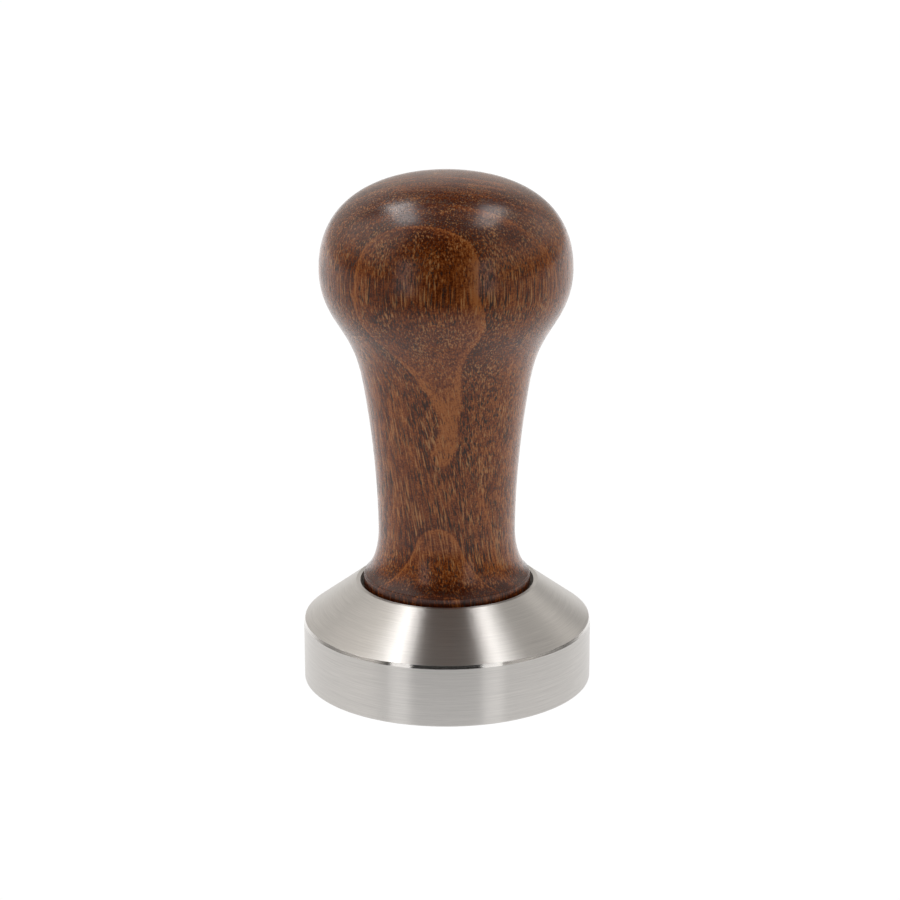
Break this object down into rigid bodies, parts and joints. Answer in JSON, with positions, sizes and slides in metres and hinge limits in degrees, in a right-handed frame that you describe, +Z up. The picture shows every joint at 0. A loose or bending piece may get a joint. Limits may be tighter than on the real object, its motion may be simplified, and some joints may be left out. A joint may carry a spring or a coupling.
{
  "type": "espresso tamper",
  "caption": "Hand tamper for ground coffee: a flat round steel base with a coned shoulder and a turned wooden grip that screws onto it with a threaded stud.",
  "frame": {"origin": "centre of the flat tamping face, the face that the tamper stands on", "axes": "+Z up the grip, along the axis that every piece is turned about; the tamper is round, so X and Y are any two directions across it"},
  "size_m": [0.057, 0.057, 0.1013],
  "materials": {
    "base_steel": "turned stainless steel, fine circular brush marks",
    "washer_fibre": "matt black fibre",
    "handle_wood": "dark brown stained wood under satin varnish",
    "insert_brass": "machined",
    "stud_steel": "machined, zinc plated"
  },
  "bodies": {
    "base": {"tamper_base": "base_steel"},
    "washer": {"seat_washer": "washer_fibre"},
    "handle": {"turned_handle": "handle_wood", "threaded_insert": "insert_brass", "threaded_stud": "stud_steel"}
  },
  "joints": [
    {"name": "handle_lift", "type": "slide", "parent": "base", "child": "washer", "axis": [0, 0, 1], "range_m": [0, 0.01]},
    {"name": "handle_turn", "type": "hinge", "parent": "washer", "child": "handle", "pos_m": [0, 0, 0.017], "axis": [0, 0, 1], "range_deg": [0, 2880]}
  ],
  "couplings": [
    {"joint": "handle_lift", "follows": "handle_turn", "m_per_rad": 0.00019894}
  ]
}
